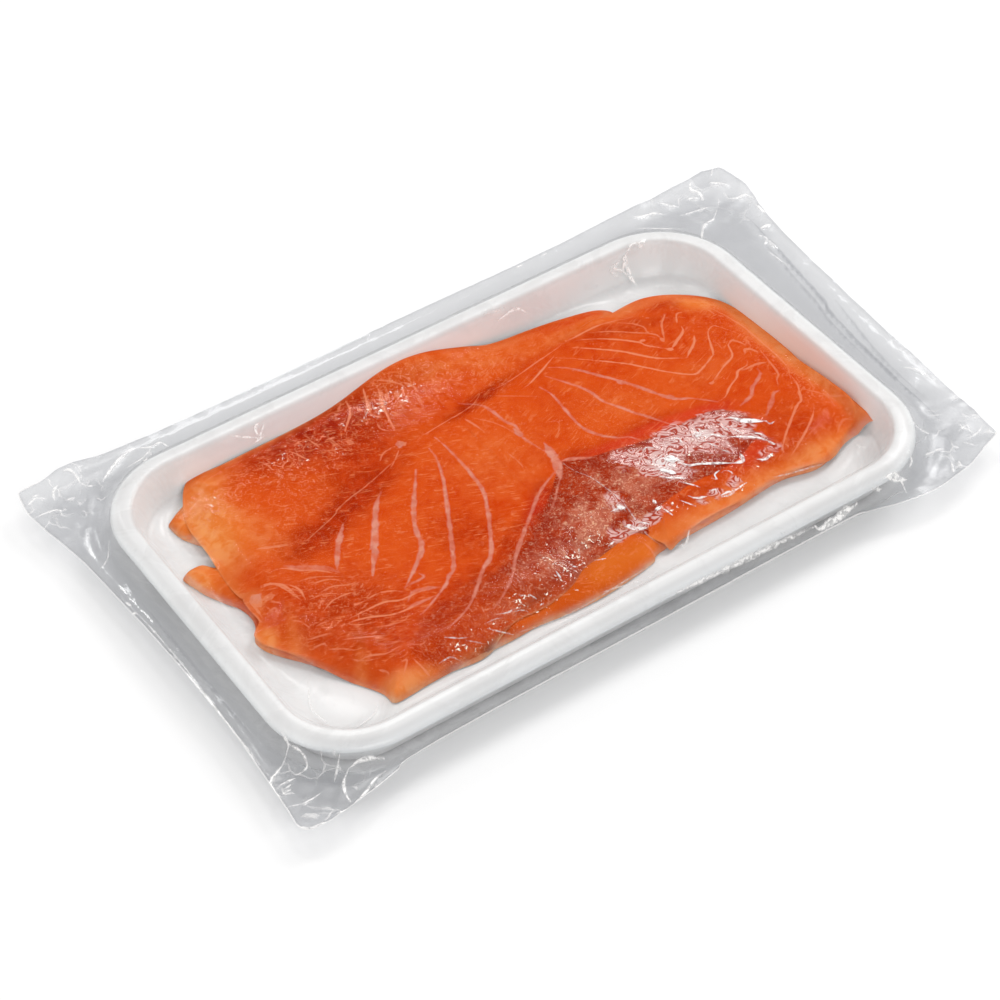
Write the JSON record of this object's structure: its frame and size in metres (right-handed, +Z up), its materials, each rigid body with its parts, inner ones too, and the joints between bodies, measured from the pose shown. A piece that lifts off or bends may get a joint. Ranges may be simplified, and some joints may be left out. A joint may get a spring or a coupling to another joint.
{
  "type": "pack of smoked salmon",
  "caption": "Sliced smoked salmon lying in a shallow white rectangular tray, sealed in a clear vacuum bag with crumpled corners.",
  "frame": {"origin": "middle of the flat underside of the tray", "axes": "+X along the tray's length, +Y across the tray to its far side, +Z up out of the open top"},
  "size_m": [0.2457, 0.1511, 0.0139],
  "materials": {
    "tray_white": "satin white foamed plastic",
    "clear_film": "clear glossy crinkled film",
    "salmon_under": "moist glossy smoked fish, amber orange",
    "salmon_top": "moist glossy smoked fish, orange with pale fat lines",
    "salmon_far": "moist glossy smoked fish, orange to dark red"
  },
  "bodies": {
    "root": {"tray": "tray_white", "bag": "clear_film", "under_slice": "salmon_under", "top_slice": "salmon_top", "far_slice": "salmon_far"}
  },
  "joints": []
}
